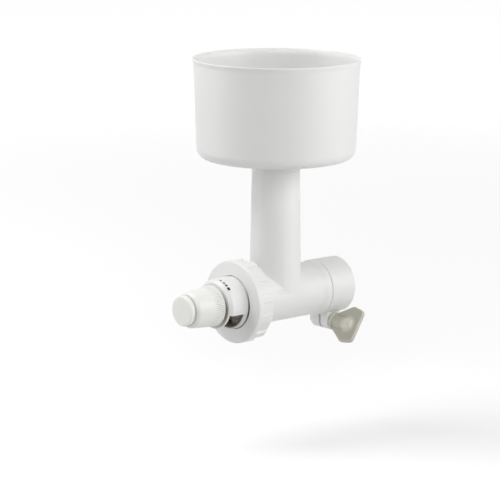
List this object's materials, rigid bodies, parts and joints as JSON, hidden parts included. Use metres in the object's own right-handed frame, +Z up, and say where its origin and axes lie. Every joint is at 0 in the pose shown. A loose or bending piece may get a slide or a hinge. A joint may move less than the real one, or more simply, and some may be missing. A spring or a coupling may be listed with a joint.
{
  "type": "grain mill attachment",
  "caption": "White moulded grain mill attachment with a round hopper, feed tube, feed screw, conical burrs, fineness knob, locking ring and split clamp for a drive hub.",
  "frame": {"origin": "centre of the clamp bore at the sleeve rear face, where the drive hub enters", "axes": "+Y along the barrel, out of the clamp towards the drive hub; -Y to the adjusting knob; +Z up to the hopper"},
  "size_m": [0.145, 0.1787, 0.2525],
  "materials": {
    "housing_white": "moulded, soft gloss",
    "hopper_white": "moulded, soft gloss, thin wall",
    "knob_white": "moulded, satin",
    "screw_white": "moulded",
    "wing_nylon": "natural nylon, satin",
    "bush_bronze": "turned",
    "burr_steel": "ground",
    "bright_steel": "turned",
    "spring_steel": "drawn wire and stamped strip",
    "plated_steel": "bright zinc plate"
  },
  "bodies": {
    "housing": {"mill_housing": "housing_white", "clamp_sleeve": "housing_white", "rear_bush": "bush_bronze", "clamp_nut": "plated_steel"},
    "hopper": {"hopper": "hopper_white"},
    "drive": {"drive_shaft": "bright_steel", "feed_screw": "screw_white", "thrust_washer": "bright_steel", "shaft_clip": "spring_steel"},
    "head": {"outlet_collar": "housing_white", "grinding_ring": "burr_steel", "knob_spring": "spring_steel"},
    "ring": {"locking_ring": "housing_white"},
    "spindle": {"thrust_spindle": "bright_steel", "thrust_ball": "bright_steel"},
    "cone": {"grinding_cone": "burr_steel"},
    "knob": {"adjusting_knob": "knob_white", "knob_cap": "knob_white"},
    "washer": {"clamp_washer": "plated_steel"},
    "wing": {"wing_head": "wing_nylon", "clamp_stud": "plated_steel"}
  },
  "joints": [
    {"name": "drive_spin", "type": "hinge", "parent": "housing", "child": "drive", "pos_m": [0, 0, 0], "axis": [0, -1, 0], "continuous": true},
    {"name": "hopper_lift", "type": "slide", "parent": "housing", "child": "hopper", "axis": [0, 0, 1], "range_m": [0, 0.06]},
    {"name": "head_slide", "type": "slide", "parent": "housing", "child": "head", "axis": [0, -1, 0], "range_m": [0, 0.008]},
    {"name": "ring_turn", "type": "hinge", "parent": "head", "child": "ring", "pos_m": [0, -0.114, 0], "axis": [0, -1, 0], "range_deg": [0, 720]},
    {"name": "spindle_slide", "type": "slide", "parent": "head", "child": "spindle", "axis": [0, -1, 0], "range_m": [0, 0.0025], "deforming": ["knob_spring"]},
    {"name": "knob_turn", "type": "hinge", "parent": "spindle", "child": "knob", "pos_m": [0, -0.16, 0], "axis": [0, -1, 0], "range_deg": [0, 300]},
    {"name": "cone_spin", "type": "hinge", "parent": "spindle", "child": "cone", "pos_m": [0, -0.112, 0], "axis": [0, -1, 0], "continuous": true},
    {"name": "washer_slide", "type": "slide", "parent": "housing", "child": "washer", "axis": [1, 0, 0], "range_m": [0, 0.003]},
    {"name": "wing_turn", "type": "hinge", "parent": "washer", "child": "wing", "pos_m": [0.02, -0.012, -0.031], "axis": [1, 0, 0], "range_deg": [0, 1080]}
  ],
  "couplings": [
    {"joint": "ring_turn", "follows": "head_slide", "rad_per_m": 1570.8},
    {"joint": "knob_turn", "follows": "spindle_slide", "rad_per_m": 2094.4},
    {"joint": "cone_spin", "follows": "drive_spin", "ratio": 1},
    {"joint": "wing_turn", "follows": "washer_slide", "rad_per_m": 6283.2}
  ]
}
